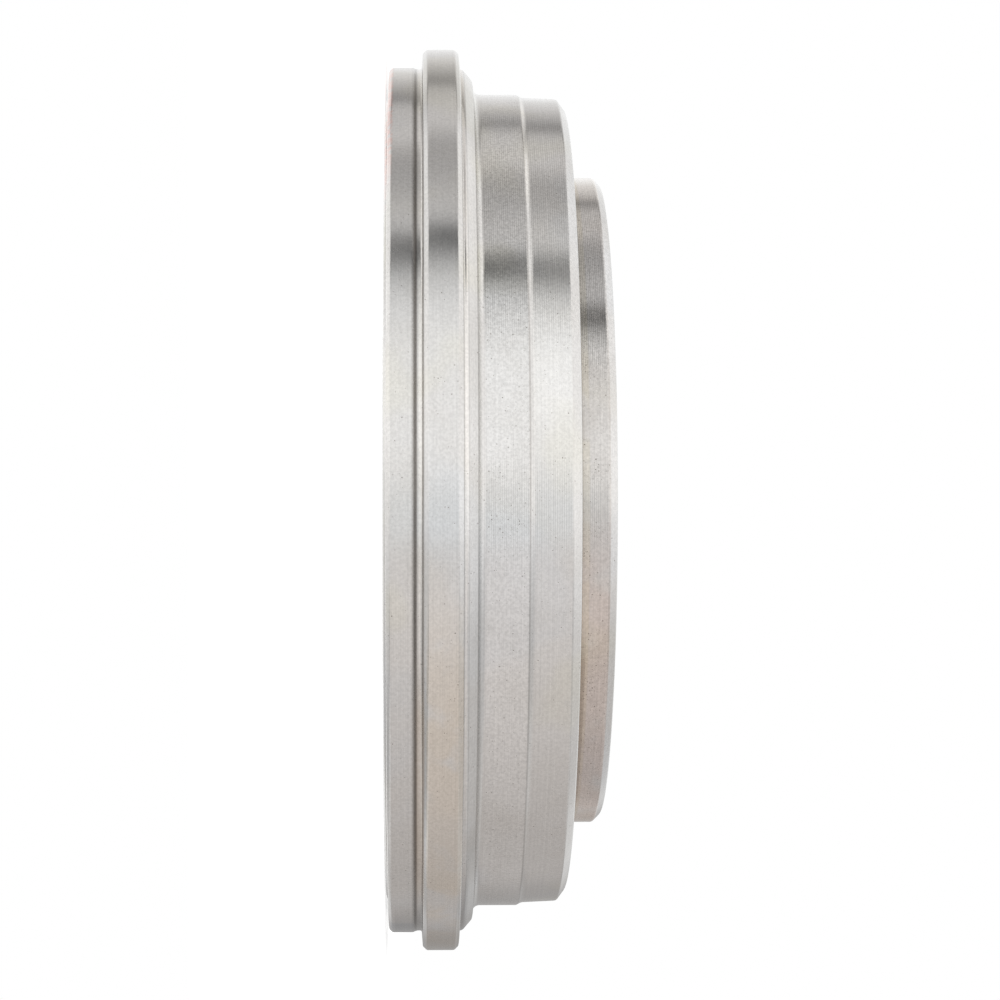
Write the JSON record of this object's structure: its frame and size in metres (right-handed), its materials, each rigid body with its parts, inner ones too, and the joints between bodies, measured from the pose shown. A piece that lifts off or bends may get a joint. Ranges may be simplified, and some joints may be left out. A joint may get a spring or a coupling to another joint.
{
  "type": "brake drum",
  "caption": "Shallow cast-iron brake drum with a stepped, turned outside, a stiffening flange beside its open mouth and a flat wheel hat with a pilot bore and stud holes.",
  "frame": {"origin": "centre of the open mouth, in the plane of its rim, which the drum stands on", "axes": "+Z along the drum's axis, from the mouth to the wheel face; +Y through the first stud hole; +X completes a right-handed frame"},
  "size_m": [0.236, 0.236, 0.0555],
  "materials": {
    "turned_iron": "bare grey iron, turned all over outside and bored inside: pale silver grey with fine lathe lines and dark pores; the pocket under the hat is left rough as cast"
  },
  "bodies": {
    "root": {"brake_drum": "turned_iron"}
  },
  "joints": []
}
